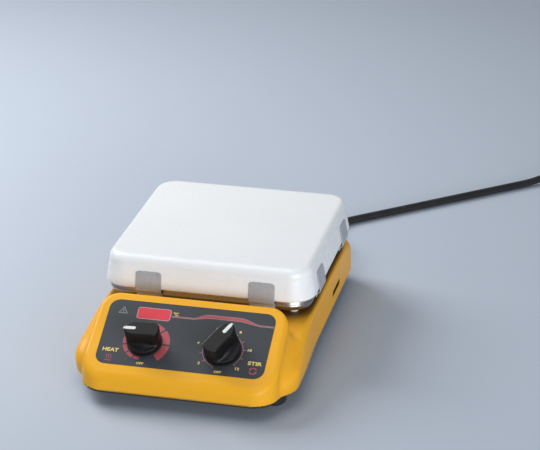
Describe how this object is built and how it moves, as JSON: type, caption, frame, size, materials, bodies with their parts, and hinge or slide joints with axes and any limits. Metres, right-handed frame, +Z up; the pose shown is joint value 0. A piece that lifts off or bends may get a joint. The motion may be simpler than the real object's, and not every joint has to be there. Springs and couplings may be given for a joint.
{
  "type": "magnetic stirrer",
  "caption": "Bench magnetic stirrer with a square heated ceramic top plate, sloping control console, two pointer knobs, an internal rotating magnet drive and a mains cord.",
  "frame": {"origin": "the centre of the heated face, on the vertical stirring axis; the bench is 96.5 mm below it", "axes": "+X to the right seen from the front, +Y to the back, +Z up out of the heated face"},
  "size_m": [0.4455, 0.6894, 0.0965],
  "materials": {
    "yellow_enamel": "semi-gloss",
    "white_ceramic": "glazed",
    "panel_sheet": "satin",
    "red_window": "gloss",
    "knob_plastic": "satin",
    "black_rubber": "matt",
    "cord_jacket": "satin",
    "black_moulding": "matt",
    "black_sheet": "matt",
    "steel_sheet": "mill",
    "bright_steel": "polished",
    "fastener_steel": "zinc plated",
    "aluminium": "plain",
    "lamination": "matt",
    "copper_winding": "enamelled wire",
    "bronze": "sintered",
    "ferrite": "matt",
    "heater_alloy": "oxidised",
    "insulating_board": "matt",
    "circuit_board": "solder resist",
    "component_plastic": "matt",
    "capacitor_sleeve": "gloss",
    "white_nylon": "matt",
    "wire_sleeve": "satin",
    "ground_wire": "satin",
    "fuse_glass": "clear",
    "contact_brass": "plain"
  },
  "bodies": {
    "base": {"housing": "yellow_enamel", "base_plate": "black_sheet", "feet": "black_rubber", "foot_screws": "fastener_steel", "base_screws": "fastener_steel", "vent_screens": "steel_sheet", "control_panel": "panel_sheet", "display_window": "red_window", "display_module": "component_plastic", "control_board": "circuit_board", "board_spacers": "white_nylon", "board_screws": "fastener_steel", "heat_potentiometer": "component_plastic", "stir_potentiometer": "component_plastic", "control_nuts": "fastener_steel", "top_plate": "white_ceramic", "plate_clips": "steel_sheet", "heater_pan": "bright_steel", "insulation": "insulating_board", "heating_element": "heater_alloy", "temperature_probe": "bright_steel", "heat_shield": "aluminium", "lower_spacers": "insulating_board", "upper_spacers": "insulating_board", "pan_screws": "fastener_steel", "pan_nuts": "fastener_steel", "power_board": "circuit_board", "power_board_spacers": "white_nylon", "transformer": "lamination", "capacitors": "capacitor_sleeve", "triac": "component_plastic", "heat_sink": "aluminium", "terminal_block": "component_plastic", "fuse_holder": "component_plastic", "fuse": "fuse_glass", "motor_bracket": "steel_sheet", "stator_core": "lamination", "stator_coil": "copper_winding", "bearing_plates": "aluminium", "motor_bearings": "bronze", "motor_bolts": "fastener_steel", "bracket_screws": "fastener_steel", "heater_leads": "insulating_board", "motor_leads": "wire_sleeve", "ground_lead": "ground_wire", "power_cord": "cord_jacket", "strain_relief": "black_moulding", "plug": "black_moulding", "plug_pins": "contact_brass"},
    "heat_control": {"heat_knob": "knob_plastic", "heat_shaft": "aluminium"},
    "stir_control": {"stir_knob": "knob_plastic", "stir_shaft": "aluminium"},
    "stir_drive": {"rotor": "lamination", "motor_shaft": "bright_steel", "magnet_carrier": "aluminium", "drive_magnets": "ferrite"}
  },
  "joints": [
    {"name": "heat_turn", "type": "hinge", "parent": "base", "child": "heat_control", "pos_m": [-0.036, -0.17475, -0.04702], "axis": [0, -0.497, 0.8678], "range_deg": [-234, 87]},
    {"name": "stir_turn", "type": "hinge", "parent": "base", "child": "stir_control", "pos_m": [0.036, -0.17475, -0.04702], "axis": [0, -0.497, 0.8678], "range_deg": [-107, 208]},
    {"name": "drive_spin", "type": "hinge", "parent": "base", "child": "stir_drive", "pos_m": [0, 0, -0.0565], "axis": [0, 0, 1], "continuous": true}
  ]
}
